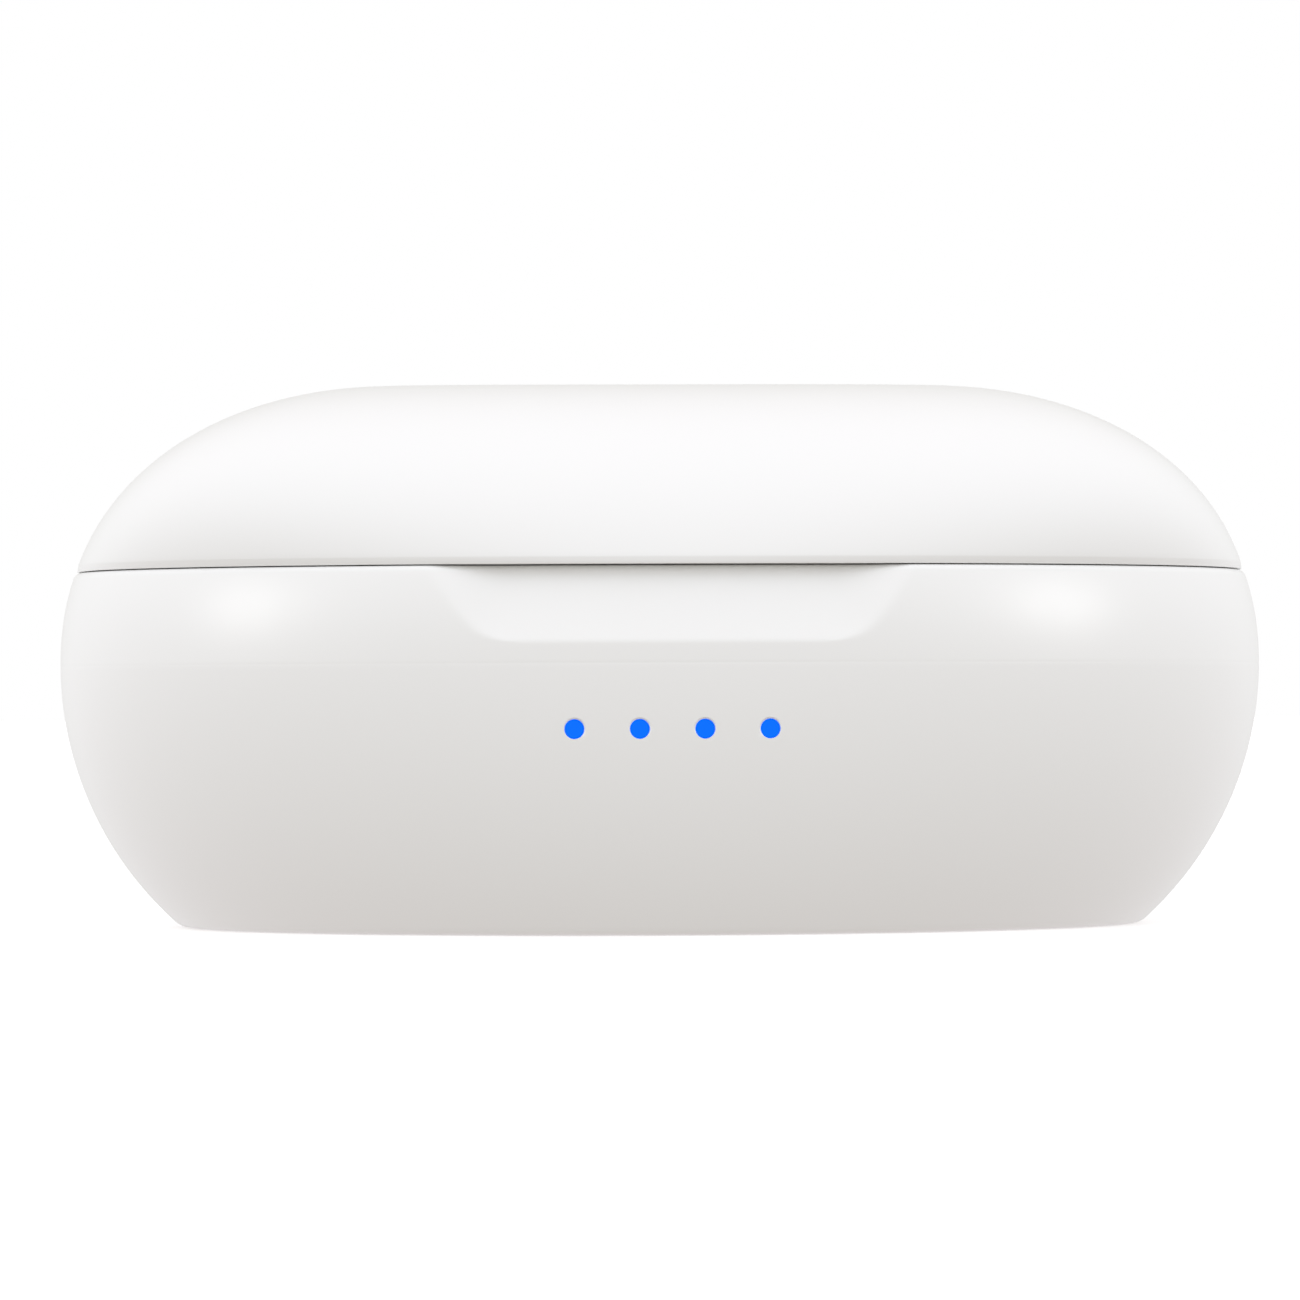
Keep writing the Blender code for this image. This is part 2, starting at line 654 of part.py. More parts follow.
def build_battery():
    half = (17.0 * MM, 9.0 * MM)
    block("battery_tape", (-14 * MM, -7 * MM, 1.95 * MM), (14 * MM, 7 * MM, 2.25 * MM), FOAM)
    low, high = (-half[0], -half[1], 2.4 * MM), (half[0], half[1], 7.2 * MM)
    block("battery_cell", low, high, CELL_FOIL, bevel=0.9 * MM)
    block("board_foam", (-11 * MM, -6 * MM, 7.35 * MM), (11 * MM, 6 * MM, 8.25 * MM), FOAM)
    plug_x = 21.5 * MM
    plug_high = (plug_x + 4 * MM, 2.2 * MM, BOARD_UNDER_Z - SOLDER_GAP)
    block("battery_plug", (plug_x, -2.2 * MM, 6.2 * MM), plug_high, INNER_WHITE)
    leads = (("battery_lead_red", 1.1 * MM, RED_WIRE), ("battery_lead_black", -1.1 * MM, BLACK_WIRE))
    for name, y, finish in leads:
        start, end = half[0] + 0.15 * MM, plug_x - 0.15 * MM
        route = []
        for i in range(9):
            share = i / 8
            ease = share * share * (3 - 2 * share)
            bulge = math.copysign(math.sin(math.pi * share), y) * 0.5 * MM
            route.append((start + (end - start) * share, y + bulge, 4.8 * MM + ease * 2.4 * MM))
        wire(name, route, 0.4 * MM, finish)


def build_chips():
    seat = BOARD_TOP_Z + 0.05 * MM
    chips = {
        "charge_controller": (-0.5, -4.0, 5.0, 5.0, 0.9, CHIP_BLACK),
        "supervisor_chip": (-2.5, 3.4, 4.0, 5.0, 1.5, CHIP_BLACK),
        "power_inductor": (3.2, 3.4, 4.0, 4.0, 2.0, CHIP_BLACK),
        "lid_sensor": (4.6, -8.6, 2.9, 1.5, 1.1, CHIP_BLACK),
    }
    for name, (x, y, length, width, height, finish) in chips.items():
        low = ((x - length / 2) * MM, (y - width / 2) * MM, seat)
        high = ((x + length / 2) * MM, (y + width / 2) * MM, seat + height * MM)
        block(name, low, high, finish, bevel=0.12 * MM)


def spring_route(centre_x, centre_y, low, high):
    turns, per_turn = SPRING_TURNS, 7
    count = int(turns * per_turn)
    route = []
    for i in range(count + 1):
        angle = 2 * math.pi * i / per_turn
        x = centre_x + SPRING_RADIUS * math.cos(angle)
        y = centre_y + SPRING_RADIUS * math.sin(angle)
        route.append((x, y, low + (high - low) * i / count))
    return route


def build_contact_pin(side_word, end_word):
    x, y = SIDES[side_word] * PIN_X, ENDS[end_word] * PIN_Y
    foot = BOARD_TOP_Z + SOLDER_GAP
    floor = foot + BARREL_FLOOR
    barrel = [
        (0.0, floor),
        (BARREL_BORE, floor),
        (BARREL_BORE, BARREL_TOP_Z - BARREL_LIP),
        (BARREL_LIP_RADIUS, BARREL_TOP_Z - BARREL_LIP),
        (BARREL_LIP_RADIUS, BARREL_TOP_Z),
        (BARREL_RADIUS, BARREL_TOP_Z),
        (BARREL_RADIUS, foot),
        (0.0, foot),
    ]
    turned(f"pin_barrel_{side_word}_{end_word}", barrel, (x, y, 0.0), GOLD, steps=16)
    low, high = PLUNGER_Z
    nose = arc((0.0, high - PLUNGER_RADIUS), PLUNGER_RADIUS, 90.0, 0.0, 3)
    collar_top = BARREL_TOP_Z - BARREL_LIP - 0.05 * MM
    collar = [
        (PLUNGER_RADIUS, collar_top),
        (PLUNGER_COLLAR_RADIUS, collar_top),
        (PLUNGER_COLLAR_RADIUS, low),
        (0.0, low),
    ]
    turned(f"pin_plunger_{side_word}_{end_word}", nose + collar, (x, y, 0.0), GOLD, steps=16)
    wire_gap = SPRING_WIRE + 0.03 * MM
    route = spring_route(x, y, floor + wire_gap, low - wire_gap)
    wire(f"pin_spring_{side_word}_{end_word}", route, SPRING_WIRE, STEEL, resolution=0)


def build_magnets():
    for word, side in SIDES.items():
        x = side * CLOSURE_X
        base_centre = (x, CLOSURE_Y, 18.1 * MM)
        lid_centre = (x, CLOSURE_Y, LINER_TOP_Z + 1.1 * MM)
        rod(f"base_magnet_{word}", CLOSURE_RADIUS, 2.0 * MM, base_centre, NICKEL, steps=16)
        rod(f"lid_magnet_{word}", CLOSURE_RADIUS, 1.8 * MM, lid_centre, NICKEL, steps=16)
        bud_centre = (side * 23.3 * MM, 0.0, 9.9 * MM)
        rod(f"bud_magnet_{word}", 2.2 * MM, 0.8 * MM, bud_centre, NICKEL, steps=16)


# ---------------------------------------------------------------- lid


def crown_profile(inset, top_z, low_z, steps):
    """The crown's side from its flat top down, moved inwards by an inset."""
    rise = top_z - GIRTH_Z
    reach = HALF_LENGTH - FLAT_TOP_HALF_LENGTH - inset
    low_angle = math.asin(((low_z - GIRTH_Z) / rise) ** (CROWN_POWER / 2))
    points = []
    for i in range(steps + 1):
        angle = math.pi / 2 + (low_angle - math.pi / 2) * i / steps
        across = max(0.0, math.cos(angle)) ** (2 / CROWN_ROUNDNESS)
        up = math.sin(angle) ** (2 / CROWN_POWER)
        points.append((FLAT_TOP_HALF_LENGTH + reach * across, GIRTH_Z + rise * up))
    return points


def lid_profile():
    edge_z = LID_RIM_Z + LID_CHAMFER_HEIGHT
    outer = crown_profile(0.0, TOP_Z, edge_z, 9)
    rim_outer = outer[-1][0] - LID_CHAMFER_WIDTH
    inner = crown_profile(LID_WALL, TOP_Z - LID_WALL, LID_RIM_Z, 6)
    return [(0.0, TOP_Z)] + outer + [(rim_outer, LID_RIM_Z)] + inner[::-1] + [(0.0, TOP_Z - LID_WALL)]


def build_lid_shell():
    lid = oval("lid_shell", lid_profile(), WHITE)
    cut_hinge_scoop(lid)
    slot_half = LID_KNUCKLE_HALF + FIT_GAP
    low = (-slot_half, 14.0 * MM, LID_RIM_Z - 1.0 * MM)
    high = (slot_half, HINGE_Y + 1.0 * MM, 22.45 * MM)
    cut(lid, block("lid_web_slot", low, high, helper=True))
    return lid


def hollow_profile(grow):
    """A hollow's (half width, z), domed at the top, from its crown down to the liner's plate."""
    round_top = 3.0 * MM + grow
    top_z = HOLLOW_TOP_Z + grow
    foot = WELL_HALF_WIDTH - 0.5 * MM + grow
    shoulder = foot - 1.6 * MM
    dome = arc((shoulder - round_top, top_z - round_top), round_top, 90.0, 0.0, 4)
    return dome, foot


def build_liner():
    edge = LID_WALL + 3 * FIT_GAP
    under, top = LINER_UNDER_Z, LINER_TOP_Z
    profile = [
        (0.0, top),
        (half_length(top) - edge, top),
        (half_length(top) - edge, under),
        (0.0, under),
    ]
    liner = oval("lid_liner", profile, INNER_WHITE, level=top)
    for word, side in SIDES.items():
        dome, foot = hollow_profile(LINER_WALL)
        outside = [(0.0, dome[0][1])] + dome + [(foot, under + 0.3 * MM), (0.0, under + 0.3 * MM)]
        join(liner, egg(f"hollow_outside_{word}", outside, side, helper=True))
    low = (-LID_KNUCKLE_HALF, 14.4 * MM, LINER_UNDER_Z + 0.05 * MM)
    high = (LID_KNUCKLE_HALF, HINGE_Y, SEAM_Z + KNUCKLE_RADIUS - 0.05 * MM)
    web = block("liner_web", low, high, helper=True)
    join(liner, web, hinge_bar("liner_knuckle", KNUCKLE_RADIUS, -LID_KNUCKLE_HALF, LID_KNUCKLE_HALF))
    for word, side in SIDES.items():
        dome, foot = hollow_profile(0.0)
        inside = [(0.0, dome[0][1])] + dome + [(foot, under - 0.5 * MM), (0.0, under - 0.5 * MM)]
        cut(liner, egg(f"hollow_inside_{word}", inside, side, helper=True))
    cut(liner, hinge_bar("liner_bore", KNUCKLE_BORE, -14 * MM, 14 * MM))
    return liner


# ---------------------------------------------------------------- assembly


def main():
    build_base_shell()
    build_tray()
    build_board()
    build_port()
    build_lights()
    build_battery()
    build_chips()
    for side_word in SIDES:
        for end_word in ENDS:
            build_contact_pin(side_word, end_word)
    build_magnets()
    rod("hinge_pin", PIN_RADIUS, 2 * PIN_HALF_LENGTH, (0.0, HINGE_Y, SEAM_Z), STEEL, axis="X", steps=24)
    build_lid_shell()
    build_liner()
    CUTTERS.hide_viewport = False


main()
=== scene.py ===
import math

import bmesh
import bpy
from mathutils import Matrix, Vector


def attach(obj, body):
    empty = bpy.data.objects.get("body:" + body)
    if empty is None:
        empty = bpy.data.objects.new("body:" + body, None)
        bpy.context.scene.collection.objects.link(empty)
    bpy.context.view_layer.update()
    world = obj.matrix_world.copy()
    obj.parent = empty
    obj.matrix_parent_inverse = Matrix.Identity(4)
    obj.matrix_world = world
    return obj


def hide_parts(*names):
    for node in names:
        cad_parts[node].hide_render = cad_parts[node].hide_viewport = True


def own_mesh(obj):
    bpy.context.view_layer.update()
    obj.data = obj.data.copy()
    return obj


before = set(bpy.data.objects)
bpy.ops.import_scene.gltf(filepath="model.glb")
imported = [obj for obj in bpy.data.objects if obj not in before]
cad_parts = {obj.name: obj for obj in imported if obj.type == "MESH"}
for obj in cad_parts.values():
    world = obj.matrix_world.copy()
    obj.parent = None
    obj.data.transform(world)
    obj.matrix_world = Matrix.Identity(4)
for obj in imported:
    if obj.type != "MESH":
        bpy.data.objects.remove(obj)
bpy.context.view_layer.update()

MM = 0.001

# ------------------------------------------------------------------ sizes, as in the CAD
HALF_LENGTH, HALF_DEPTH = 36.0, 18.0
GIRTH_Z, TOP_Z, BELLY_RADIUS, FOOT_FILLET = 15.6, 32.35, 20.6, 1.3
CROWN_POWER, CROWN_ROUNDNESS = 2.2, 2.04
FLAT_TOP_HALF_LENGTH, FLAT_TOP_HALF_DEPTH = 16.0, 2.2
TOP_PLAN_POWER, PLAN_POWER, FOOT_PLAN_POWER = 4.0, 2.3, 2.0
SEAM_Z, SEAM_GAP = 21.2, 0.06
BASE_RIM_Z, LID_RIM_Z = SEAM_Z - SEAM_GAP / 2, SEAM_Z + SEAM_GAP / 2
RIM_FILLET, LID_CHAMFER_HEIGHT, LID_CHAMFER_WIDTH = 0.3, 0.40, 0.10
SHELL_WALL, LID_WALL, FIT_GAP = 1.8, 1.5, 0.15
LEDGE_Z, LEDGE_WIDTH, LEDGE_HEIGHT = 19.15, 1.0, 1.0
RECESS_TOP_HALF_WIDTH, RECESS_FOOT_HALF_WIDTH = 13.8, 9.6
RECESS_FOOT_Z, RECESS_LEAN = 16.83, 0.4
RECESS_FLANK_POWER, RECESS_FLANK_SLOPE = 0.55, 0.27
RECESS_WARP_DEPTH, RECESS_WARP_END_X = 4.0, 24.0
FLANK_ROUNDING, RECESS_EDGE_ROUNDING = 0.30, 0.06
LIGHT_Z, LIGHT_PITCH, LIGHT_HOLE_RADIUS, LIGHT_LIP = 11.85, 3.7, 0.56, 0.10
TRAY_TOP_Z, TRAY_UNDER_Z, TRAY_LIP_Z, TRAY_LIP_WIDTH = 20.7, 19.3, 21.5, 0.7
WELL_X, WELL_HALF_LENGTH, WELL_HALF_WIDTH = 19.5, 11.0, 9.5
WELL_FLOOR_Z, WELL_WALL, WELL_DRAFT, EGG_TAPER = 11.6, 1.2, 1.3, 0.16
LINER_UNDER_Z, LINER_TOP_Z, HOLLOW_TOP_Z, LINER_WALL = 21.7, 22.7, 27.2, 1.0
HINGE_Y, KNUCKLE_RADIUS, KNUCKLE_BORE, KNUCKLE_CLEARANCE = 17.0, 1.0, 0.47, 0.15
LID_KNUCKLE_HALF, TRAY_KNUCKLE = 7.0, (7.2, 12.2)
HINGE_RELIEF_RADIUS, HINGE_RELIEF_REACH = 0.4, 15.2
BOARD_TOP_Z, SOLDER_GAP = 9.4, 0.1
POST_PLACES = [(-9.5, 11.8), (9.5, 11.8), (-13.0, -11.6), (13.0, -11.6)]
POST_RADIUS, SCREW_RADIUS = 1.8, 0.6
PIN_X, PIN_Y, BARREL_RADIUS = 18.5, 1.8, 0.75
CLOSURE_X, CLOSURE_Y, CLOSURE_RADIUS = 7.0, -11.8, 2.0
PORT_Z, PORT_HALF_WIDTH, PORT_HALF_HEIGHT, PORT_ROOM = 11.15, 4.47, 1.63, 0.3


# ------------------------------------------------------------------ the body's form
def smoothstep(a, b, x):
    t = max(0.0, min(1.0, (x - a) / (b - a)))
    return t * t * (3 - 2 * t)


def soft_max(a, b, blend):
    """The larger of two values, rounded over where they are nearly equal."""
    share = max(blend - abs(a - b), 0.0) / blend
    return max(a, b) + share * share * blend / 4


def crown_share(z):
    rise = min(1.0, (z - GIRTH_Z) / (TOP_Z - GIRTH_Z))
    return (1.0 - rise**CROWN_POWER) ** (1.0 / CROWN_ROUNDNESS)


def half_length(z):
    if z > GIRTH_Z:
        return FLAT_TOP_HALF_LENGTH + (HALF_LENGTH - FLAT_TOP_HALF_LENGTH) * crown_share(z)
    return HALF_LENGTH - BELLY_RADIUS + math.sqrt(BELLY_RADIUS**2 - (GIRTH_Z - z) ** 2)


def half_depth(z):
    if z > GIRTH_Z:
        return FLAT_TOP_HALF_DEPTH + (HALF_DEPTH - FLAT_TOP_HALF_DEPTH) * crown_share(z)
    return half_length(z) * HALF_DEPTH / HALF_LENGTH


def plan_power(z):
    lift = max(0.0, min(1.0, (z - SEAM_Z) / (TOP_Z - SEAM_Z)))
    if lift > 0.0:
        return PLAN_POWER + (TOP_PLAN_POWER - PLAN_POWER) * lift
    drop = max(0.0, min(1.0, (GIRTH_Z - z) / GIRTH_Z))
    return PLAN_POWER + (FOOT_PLAN_POWER - PLAN_POWER) * drop


def side_y(x, reach, z, level=None):
    """How far from the middle plane the ring of that half length is, at a place x."""
    level = z if level is None else level
    depth = reach - (half_length(level) - half_depth(level))
    power = plan_power(z)
    share = min(1.0, abs(x) / reach)
    return depth * max(0.0, 1.0 - share**power) ** (1.0 / power)


def front_depth(x, z):
    return side_y(x, half_length(z), z)


def recess_half_width(z):
    share = max(0.0, min(1.0, (z - RECESS_FOOT_Z) / (BASE_RIM_Z - RECESS_FOOT_Z)))
    widening = RECESS_TOP_HALF_WIDTH - RECESS_FOOT_HALF_WIDTH
    return RECESS_FOOT_HALF_WIDTH + widening * share**RECESS_FLANK_POWER


def arc(centre, radius, start, end, steps):
    angles = [math.radians(start + (end - start) * i / steps) for i in range(steps + 1)]
    return [(centre[0] + radius * math.cos(a), centre[1] + radius * math.sin(a)) for a in angles]


def smooth_mesh(mesh, angle=30.0):
    mesh.shade_smooth()
    mesh.set_sharp_from_angle(angle=math.radians(angle))


def piece(name, mesh, body, paint):
    obj = bpy.data.objects.new(name, mesh)
    bpy.context.scene.collection.objects.link(obj)
    mesh.materials.clear()
    mesh.materials.append(paint)
    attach(obj, body)
    return obj


def lofted(name, rings):
    """A closed body from rings of points of equal count, each end ring closed by a fan to its middle."""
    count = len(rings[0])
    points = [p for ring in rings for p in ring]
    faces = []
    for r in range(len(rings) - 1):
        for k in range(count):
            n = (k + 1) % count
            faces.append((r * count + k, r * count + n, (r + 1) * count + n, (r + 1) * count + k))
    for ring_index, flip in ((0, True), (len(rings) - 1, False)):
        ring = rings[ring_index]
        middle = len(points)
        points.append(tuple((min(p[i] for p in ring) + max(p[i] for p in ring)) / 2 for i in range(3)))
        base = ring_index * count
        for k in range(count):
            n = (k + 1) % count
            face = (base + k, base + n, middle)
            faces.append(face if not flip else face[::-1])
    mesh = bpy.data.meshes.new(name)
    mesh.from_pydata([tuple(c * MM for c in p) for p in points], [], faces)
    work = bmesh.new()
    work.from_mesh(mesh)
    bmesh.ops.recalc_face_normals(work, faces=work.faces)
    if work.calc_volume() < 0:
        bmesh.ops.reverse_faces(work, faces=work.faces)
    work.to_mesh(mesh)
    work.free()
    return mesh


def subtract(mesh, cutters, unions=()):
    """The mesh with other meshes joined on and cut away."""
    body = bpy.data.objects.new("work", mesh)
    bpy.context.scene.collection.objects.link(body)
    helpers = []
    for operation, group in (("UNION", unions), ("DIFFERENCE", cutters)):
        for tool in group:
            helper = bpy.data.objects.new("helper", tool)
            bpy.context.scene.collection.objects.link(helper)
            helpers.append(helper)
            step = body.modifiers.new("cut", "BOOLEAN")
            step.operation = operation
            step.solver = "EXACT"
            step.object = helper
    bpy.context.view_layer.update()
    graph = bpy.context.evaluated_depsgraph_get()
    made = bpy.data.meshes.new_from_object(body.evaluated_get(graph))
    for helper in helpers + [body]:
        bpy.data.objects.remove(helper, do_unlink=True)
    return made


def turned(profile, centre, steps=48, axis="Z"):
    """A closed solid of revolution from (radius, height) pairs; the ends lie on the axis."""
    rings = []
    for radius, height in profile[1:-1]:
        ring = []
        for i in range(steps):
            a = 2 * math.pi * i / steps
            ring.append((radius * math.cos(a), radius * math.sin(a), height))
        rings.append(ring)
    mesh = lofted("turned", rings)
    turn = {"X": Matrix.Rotation(math.pi / 2, 4, "Y"), "Y": Matrix.Rotation(math.pi / 2, 4, "X")}
    mesh.transform(turn.get(axis, Matrix.Identity(4)))
    mesh.transform(Matrix.Translation(Vector(centre) * MM))
    return mesh


def rod(radius, length, centre, axis="Z", steps=48, edge=0.0):
    half = length / 2
    if edge:
        top = arc((radius - edge, half - edge), edge, 90.0, 0.0, 4)
        foot = arc((radius - edge, -half + edge), edge, 0.0, -90.0, 4)
        profile = [(0.0, half)] + top + foot + [(0.0, -half)]
    else:
        profile = [(0.0, half), (radius, half), (radius, -half), (0.0, -half)]
    return turned(profile, centre, steps, axis)


def box(low, high):
    mesh = bpy.data.meshes.new("box")
    cube = bmesh.new()
    bmesh.ops.create_cube(cube, size=1.0)
    size = Vector(high) - Vector(low)
    bmesh.ops.scale(cube, vec=size * MM, verts=cube.verts)
    bmesh.ops.translate(cube, vec=(Vector(low) + Vector(high)) / 2 * MM, verts=cube.verts)
    cube.to_mesh(mesh)
    cube.free()
    return mesh


# ------------------------------------------------------------------ columns round the body
def base_angles():
    """Angles round the plan, closer together at the front where the recess is."""
    angles = []
    count = 300
    for i in range(count):
        t = i / count
        angles.append(-math.pi / 2 + 2 * math.pi * t - 0.62 * math.sin(2 * math.pi * t))
    return angles


ANGLES = base_angles()


def column_shares(z):
    """Where each column crosses the ring at a height, as (x share of the half length, front or back)."""
    power = 2.0 / plan_power(z)
    shares = []
    for a in ANGLES:
        cosine = math.cos(a)
        shares.append((math.copysign(abs(cosine) ** power, cosine), -1 if math.sin(a) < 0 else 1))
    return shares


def recess_warp(x, z):
    """Columns lean with the recess's flanks, so that its edges run along them."""
    if z < RECESS_FOOT_Z - RECESS_WARP_DEPTH:
        return x
    fade = smoothstep(RECESS_FOOT_Z - RECESS_WARP_DEPTH, RECESS_FOOT_Z, z)
    width = recess_half_width(z)
    middle = (RECESS_TOP_HALF_WIDTH + RECESS_FOOT_HALF_WIDTH) / 2
    reach = abs(x)
    if reach <= middle:
        moved = reach * width / middle
    else:
        far = RECESS_WARP_END_X
        if reach >= far:
            return x
        moved = width + (reach - middle) * (far - width) / (far - middle)
    return math.copysign(reach + (moved - reach) * fade, x)


def body_ring(z, inset, outside=True, level=None):
    """The body's ring at a height, moved in by an inset; outside rings carry the thumb recess."""
    reach = half_length(z if level is None else level) - inset
    ring = []
    for share, way in column_shares(z):
        x = share * reach
        if way < 0 and outside and abs(share) < 0.75:
            x = recess_warp(x, z)
        y = way * side_y(x, reach, z, level)
        if way < 0 and outside and z > RECESS_FOOT_Z - 0.6:
            facet = RECESS_LEAN * (z - RECESS_FOOT_Z) - front_depth(x, RECESS_FOOT_Z) + inset * 0.9 - y
            flank = RECESS_FLANK_SLOPE * (recess_half_width(z) - abs(x))
            y += soft_max(-soft_max(-facet, -flank, FLANK_ROUNDING), 0.0, RECESS_EDGE_ROUNDING)
        ring.append((x, y, z))
    return ring


def spread(a, b, count):
    return [a + (b - a) * i / count for i in range(count + 1)]


# ------------------------------------------------------------------ base shell
def base_rings():
    rings = []
    centre_x = HALF_LENGTH - BELLY_RADIUS
    foot_reach = BELLY_RADIUS - FOOT_FILLET
    foot_angle = math.asin((GIRTH_Z - FOOT_FILLET) / foot_reach)
    foot_x = centre_x + foot_reach * math.cos(foot_angle)
    # inside floor and wall, bottom up
    inner_radius = BELLY_RADIUS - SHELL_WALL
    floor_angle = math.degrees(math.asin((GIRTH_Z - SHELL_WALL) / inner_radius))
    for x, z in arc((centre_x, GIRTH_Z), inner_radius, -floor_angle, 0.0, 16):
        rings.append(body_ring(z, half_length(z) - x, outside=False))
    ledge_low = LEDGE_Z - LEDGE_HEIGHT
    ledge_foot = ledge_low - LEDGE_WIDTH
    rings.append(body_ring(ledge_foot, SHELL_WALL, outside=False))
    rings.append(body_ring(ledge_low, SHELL_WALL + LEDGE_WIDTH, outside=False))
    rings.append(body_ring(LEDGE_Z, SHELL_WALL + LEDGE_WIDTH, outside=False))
    rings.append(body_ring(LEDGE_Z, SHELL_WALL, outside=False))
    for z in spread(LEDGE_Z + 0.3, BASE_RIM_Z - 0.2, 4):
        rings.append(body_ring(z, SHELL_WALL, outside=False))
    rings.append(body_ring(BASE_RIM_Z - 0.06, SHELL_WALL + 0.02, outside=False))
    rings.append(body_ring(BASE_RIM_Z, SHELL_WALL - 0.12, outside=False))
    # rim and outside, top down
    for i in range(0, 7):
        a = math.radians(90.0 - 90.0 * i / 6)
        z = BASE_RIM_Z - RIM_FILLET + RIM_FILLET * math.sin(a)
        rings.append(body_ring(z, RIM_FILLET * (1 - math.cos(a))))
    for z in spread(BASE_RIM_Z - RIM_FILLET - 0.15, RECESS_FOOT_Z + 0.5, 18):
        rings.append(body_ring(z, 0.0))
    for z in spread(RECESS_FOOT_Z + 0.42, RECESS_FOOT_Z - 0.42, 16):
        rings.append(body_ring(z, 0.0))
    for z in spread(RECESS_FOOT_Z - 0.6, GIRTH_Z + 0.2, 3):
        rings.append(body_ring(z, 0.0))
    # the faint line where the mould's halves meet
    for step, groove in ((0.10, 0.0), (0.05, 0.003), (0.0, 0.007), (-0.05, 0.003), (-0.10, 0.0)):
        rings.append(body_ring(GIRTH_Z + step, groove))
    belly = math.asin(0.3 / BELLY_RADIUS)
    for i in range(52):
        a = belly + (foot_angle - belly) * i / 51
        z = GIRTH_Z - BELLY_RADIUS * math.sin(a)
        rings.append(body_ring(z, 0.0))
    for i in range(1, 11):
        a = foot_angle + (math.pi / 2 - foot_angle) * i / 10
        z = max(0.0, FOOT_FILLET - FOOT_FILLET * math.sin(a))
        x = foot_x + FOOT_FILLET * math.cos(a)
        rings.append(body_ring(z, half_length(z) - x))
    for inset in (1.5, 4.0, 8.0, 12.0):
        rings.append([(x * (1 - inset / 28.0), y * (1 - inset / 28.0), 0.0) for x, y, z in rings[-1]])
    return rings


def light_places():
    return [(i - 1.5) * LIGHT_PITCH for i in range(4)]


def port_prism(grow, low_y, high_y, steps=14):
    radius = PORT_HALF_HEIGHT + grow
    middle = PORT_HALF_WIDTH - PORT_HALF_HEIGHT
    outline = arc((middle, 0.0), radius, -90.0, 90.0, steps)
    outline += arc((-middle, 0.0), radius, 90.0, 270.0, steps)
    rings = [[(x, y, PORT_Z + z) for x, z in outline] for y in (low_y, high_y)]
    mesh = bpy.data.meshes.new("prism")
    count = len(outline)
    points = [p for ring in rings for p in ring]
    faces = [(k, (k + 1) % count, count + (k + 1) % count, count + k) for k in range(count)]
    faces += [tuple(range(count))[::-1], tuple(range(count, 2 * count))]
    mesh.from_pydata([tuple(c * MM for c in p) for p in points], [], faces)
    work = bmesh.new()
    work.from_mesh(mesh)
    bmesh.ops.recalc_face_normals(work, faces=work.faces)
    work.to_mesh(mesh)
    work.free()
    return mesh


def hinge_bar(radius, low_x, high_x, steps=64):
    return rod(radius, high_x - low_x, ((low_x + high_x) / 2, HINGE_Y, SEAM_Z), axis="X", steps=steps)


def hinge_scoops():
    """Room round the knuckles, and a slim relief beyond them where the rims turn past each other."""
    reach = TRAY_KNUCKLE[1] + 2 * KNUCKLE_CLEARANCE
    scoops = [hinge_bar(KNUCKLE_RADIUS + KNUCKLE_CLEARANCE, -reach, reach)]
    for side in (-1, 1):
        ends = sorted((side * (reach - 0.1), side * HINGE_RELIEF_REACH))
        scoops.append(hinge_bar(HINGE_RELIEF_RADIUS, ends[0], ends[1], steps=32))
    return scoops


def light_hole(x):
    """A hole for a light window, its lip rounded where it meets the face."""
    face, lip = -front_depth(x, LIGHT_Z), LIGHT_LIP
    curve = []
    for degrees in range(0, 91, 15):
        a = math.radians(degrees)
        curve.append((LIGHT_HOLE_RADIUS + lip - lip * math.cos(a), lip * math.sin(a) - lip))
    profile = [(0.0, -4.0), (LIGHT_HOLE_RADIUS, -4.0)] + curve
    profile += [(LIGHT_HOLE_RADIUS + lip, 1.0), (0.0, 1.0)]
    return turned(profile, (x, face, LIGHT_Z), steps=64, axis="Y")


def base_mesh():
    cutters = []
    for x in light_places():
        cutters.append(light_hole(x))
    cutters.append(port_prism(PORT_ROOM, 14.5, 19.5))
    cutters += hinge_scoops()
    for side in (-1, 1):
        ends = sorted(side * (x + grow) for x, grow in zip(TRAY_KNUCKLE, (-FIT_GAP, FIT_GAP)))
        cutters.append(box((ends[0], 14.0, 20.1), (ends[1], HINGE_Y, 22.0)))
    return subtract(lofted("base_outside", base_rings()), cutters)


# ------------------------------------------------------------------ lid shell
def crown_rings(inset, top_z, low_z, steps):
    """(reach, height) pairs down the crown, moved in by an inset."""
    rise = top_z - GIRTH_Z
    reach = HALF_LENGTH - FLAT_TOP_HALF_LENGTH - inset
    low_angle = math.asin(((low_z - GIRTH_Z) / rise) ** (CROWN_POWER / 2))
    points = []
    for i in range(steps + 1):
        angle = math.pi / 2 + (low_angle - math.pi / 2) * i / steps
        across = max(0.0, math.cos(angle)) ** (2 / CROWN_ROUNDNESS)
        height = GIRTH_Z + rise * math.sin(angle) ** (2 / CROWN_POWER)
        points.append((FLAT_TOP_HALF_LENGTH + reach * across, height))
    return points


